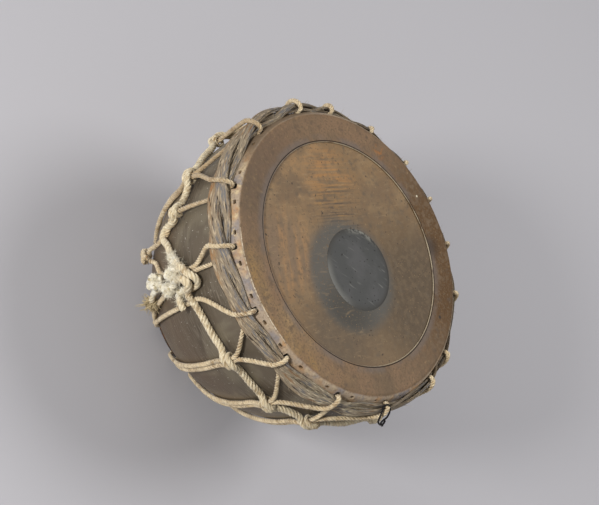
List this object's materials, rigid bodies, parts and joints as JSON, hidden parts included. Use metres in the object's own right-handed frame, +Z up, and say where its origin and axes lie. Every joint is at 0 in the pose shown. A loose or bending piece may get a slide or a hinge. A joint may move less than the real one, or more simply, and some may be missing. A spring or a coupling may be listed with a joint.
{
  "type": "kettle drum",
  "caption": "Bayan kettle drum: a metal bowl with a laced hide head, an off-centre tuning paste, a twisted leather hoop and a tied waist rope.",
  "frame": {"origin": "middle of the kettle's flat foot, where it stands", "axes": "+Z up the drum's axis, out of the head; +X from the axis towards the tuning paste; +Y completes a right-handed set"},
  "size_m": [0.2878, 0.2868, 0.1856],
  "materials": {
    "kettle_metal": "dark patinated, satin",
    "hide": "worn hide",
    "ring_hide": "worn hide, dark",
    "paste": "matt black paste, pitted",
    "hoop_leather": "frayed raw leather",
    "lace_cord": "twisted cotton cord",
    "waist_cord": "twisted cotton rope",
    "iron_wire": "dark iron"
  },
  "bodies": {
    "root": {"kettle": "kettle_metal", "lining_skin": "hide", "playing_skin": "hide", "ring_skin": "ring_hide", "tuning_paste": "paste", "hoop_thong_1": "hoop_leather", "hoop_thong_2": "hoop_leather", "hoop_thong_3": "hoop_leather", "lace": "lace_cord", "waist_rope": "waist_cord", "base_ring": "iron_wire"}
  },
  "joints": []
}
